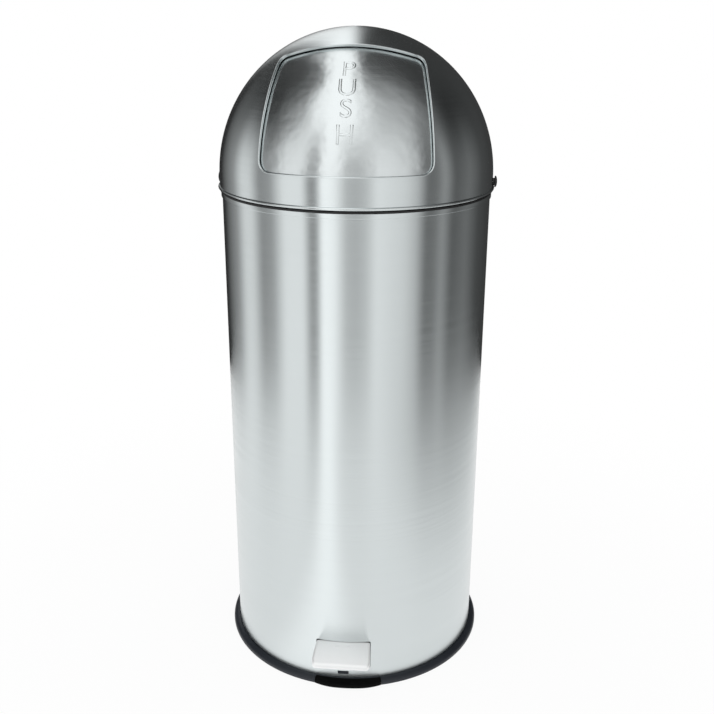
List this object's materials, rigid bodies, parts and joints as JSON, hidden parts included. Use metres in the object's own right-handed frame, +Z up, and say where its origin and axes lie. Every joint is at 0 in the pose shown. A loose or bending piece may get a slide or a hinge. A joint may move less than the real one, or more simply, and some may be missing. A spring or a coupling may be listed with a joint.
{
  "type": "dome top waste receptacle",
  "caption": "Round steel floor bin with a domed lid lifted by a foot pedal, a push flap in the dome and a lift-out inner bucket.",
  "frame": {"origin": "on the floor under the body's axis, the centre of the base pan's underside", "axes": "+Z up along the body's axis, -Y towards the front with the pedal and the flap, +X to the right seen from the front"},
  "size_m": [0.4, 0.4398, 0.9255],
  "materials": {
    "brushed_steel": "stainless steel brushed round the body",
    "bucket_steel": "plain galvanised sheet",
    "zinc_steel": "zinc plated",
    "dark_plastic": "dark grey moulded plastic",
    "black_plastic": "black moulded plastic",
    "black_rubber": "matt black rubber"
  },
  "bodies": {
    "bin": {"base_pan": "dark_plastic", "toe_pad": "black_rubber", "body_shell": "brushed_steel", "rim_ring": "black_plastic", "lid_buffer_1": "black_rubber", "lid_buffer_2": "black_rubber", "lid_buffer_3": "black_rubber", "lid_buffer_4": "black_rubber", "lever_bracket": "zinc_steel", "lever_pin": "zinc_steel", "lever_pin_clip": "bucket_steel", "bracket_screw_1": "zinc_steel", "bracket_screw_2": "zinc_steel", "bracket_screw_3": "zinc_steel", "bracket_screw_4": "zinc_steel", "rod_guide_lower": "black_plastic", "rod_guide_upper": "black_plastic", "hinge_fixed_leaf": "black_plastic", "hinge_pin": "bucket_steel", "hinge_rivet_body_left": "zinc_steel", "hinge_rivet_body_right": "zinc_steel", "inner_bucket": "bucket_steel", "bucket_ear_left": "bucket_steel", "bucket_ear_right": "bucket_steel", "ear_rivet_left": "zinc_steel", "ear_rivet_right": "zinc_steel"},
    "lid": {"dome_lid": "brushed_steel", "hinge_moving_leaf": "black_plastic", "lift_lug": "black_plastic", "flap_pin_left": "zinc_steel", "flap_pin_right": "zinc_steel", "flap_spacer_left": "black_plastic", "flap_spacer_right": "black_plastic", "pivot_cap_left": "black_plastic", "pivot_cap_right": "black_plastic", "flap_stop_left": "black_rubber", "flap_stop_right": "black_rubber", "hinge_rivet_lid_left": "zinc_steel", "hinge_rivet_lid_right": "zinc_steel"},
    "flap": {"push_flap": "brushed_steel"},
    "pedal": {"pedal_lever": "zinc_steel", "pedal_plate": "brushed_steel", "pedal_rivet_left": "zinc_steel", "pedal_rivet_right": "zinc_steel"},
    "rod": {"push_rod": "bucket_steel", "rod_foot": "black_plastic", "rod_tip": "black_plastic"},
    "bail": {"bucket_bail": "bucket_steel", "bail_grip": "black_plastic"}
  },
  "joints": [
    {"name": "lid_hinge", "type": "hinge", "parent": "bin", "child": "lid", "pos_m": [0, 0.203, 0.703], "axis": [-1, 0, 0], "range_deg": [0, 60]},
    {"name": "flap_swing", "type": "hinge", "parent": "lid", "child": "flap", "pos_m": [0, 0, 0.719], "axis": [-1, 0, 0], "range_deg": [0, 55]},
    {"name": "pedal_pivot", "type": "hinge", "parent": "bin", "child": "pedal", "pos_m": [0, 0, 0.061], "axis": [1, 0, 0], "range_deg": [0, 7]},
    {"name": "rod_lift", "type": "slide", "parent": "bin", "child": "rod", "axis": [0, 0, 1], "range_m": [0, 0.0221]},
    {"name": "bail_swing", "type": "hinge", "parent": "bin", "child": "bail", "pos_m": [0, 0, 0.7204], "axis": [1, 0, 0], "range_deg": [0, 180]}
  ],
  "couplings": [
    {"joint": "pedal_pivot", "follows": "lid_hinge", "ratio": 0.11421},
    {"joint": "rod_lift", "follows": "lid_hinge", "m_per_rad": 0.021008}
  ]
}
